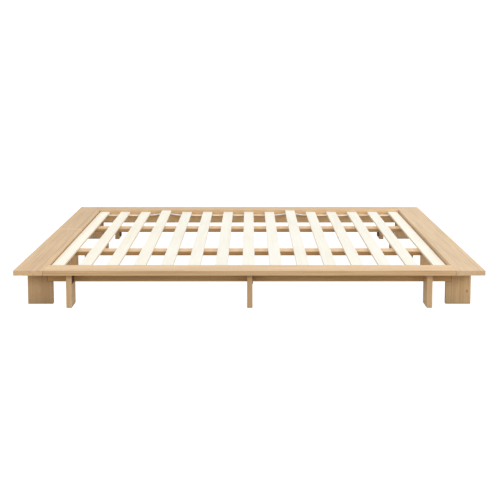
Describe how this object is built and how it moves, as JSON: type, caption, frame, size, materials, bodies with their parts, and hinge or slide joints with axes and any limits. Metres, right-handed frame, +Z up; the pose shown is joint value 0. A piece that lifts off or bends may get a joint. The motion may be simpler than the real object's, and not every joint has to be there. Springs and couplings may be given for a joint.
{
  "type": "wooden bed frame",
  "caption": "Low platform bed frame in light oak: a flat board border on plank legs and cross posts, with a lift-out roll of pale taped slats in the recess.",
  "frame": {"origin": "on the floor under the middle of the bed", "axes": "+X along the bed towards the right end, +Y across it towards the rear side, +Z up"},
  "size_m": [2.33, 2.23, 0.197],
  "materials": {
    "border_wood": "light oak veneer, matt lacquer, grain along each board",
    "rail_wood": "light oak, matt lacquer, grain along the rail",
    "leg_wood": "light oak, matt lacquer, upright grain, edge-glued staves",
    "slat_wood": "pale unfinished birch or poplar, planed",
    "slat_tape": "white woven tape",
    "staple_wire": "galvanised wire",
    "felt": "dark brown felt",
    "black_steel": "black powder coat",
    "zinc_screw": "zinc plated",
    "dowel_wood": "beech",
    "rubber": "matt black rubber"
  },
  "bodies": {
    "bed_frame": {"front_board": "border_wood", "front_centre_post": "leg_wood", "front_left_leg": "leg_wood", "front_left_post": "leg_wood", "front_mid_rail": "rail_wood", "front_rail": "rail_wood", "front_right_leg": "leg_wood", "front_right_post": "leg_wood", "left_board": "border_wood", "left_cross_rail": "rail_wood", "left_end_leg": "leg_wood", "mid_front_centre_post": "leg_wood", "mid_front_left_post": "leg_wood", "mid_front_right_post": "leg_wood", "mid_rear_centre_post": "leg_wood", "mid_rear_left_post": "leg_wood", "mid_rear_right_post": "leg_wood", "rear_board": "border_wood", "rear_centre_post": "leg_wood", "rear_left_leg": "leg_wood", "rear_left_post": "leg_wood", "rear_mid_rail": "rail_wood", "rear_rail": "rail_wood", "rear_right_leg": "leg_wood", "rear_right_post": "leg_wood", "right_board": "border_wood", "right_cross_rail": "rail_wood", "right_end_leg": "leg_wood", "foot_pads": "felt", "post_brackets": "black_steel", "leg_brackets": "black_steel", "corner_brackets": "black_steel", "mid_rail_brackets": "black_steel", "mid_post_brackets": "black_steel", "end_leg_brackets": "black_steel", "bracket_screws": "zinc_screw", "rail_screws": "zinc_screw", "board_dowels": "dowel_wood", "rear_buffers": "rubber", "buffer_screws": "zinc_screw"},
    "slat_roll": {"slat_01": "slat_wood", "slat_02": "slat_wood", "slat_03": "slat_wood", "slat_04": "slat_wood", "slat_05": "slat_wood", "slat_06": "slat_wood", "slat_07": "slat_wood", "slat_08": "slat_wood", "slat_09": "slat_wood", "slat_10": "slat_wood", "slat_11": "slat_wood", "slat_12": "slat_wood", "slat_13": "slat_wood", "slat_14": "slat_wood", "slat_15": "slat_wood", "front_tape": "slat_tape", "rear_tape": "slat_tape", "slat_staples": "staple_wire"}
  },
  "joints": [
    {"name": "slat_roll_lift", "type": "slide", "parent": "bed_frame", "child": "slat_roll", "axis": [0, 0, 1], "range_m": [0, 0.15]}
  ]
}
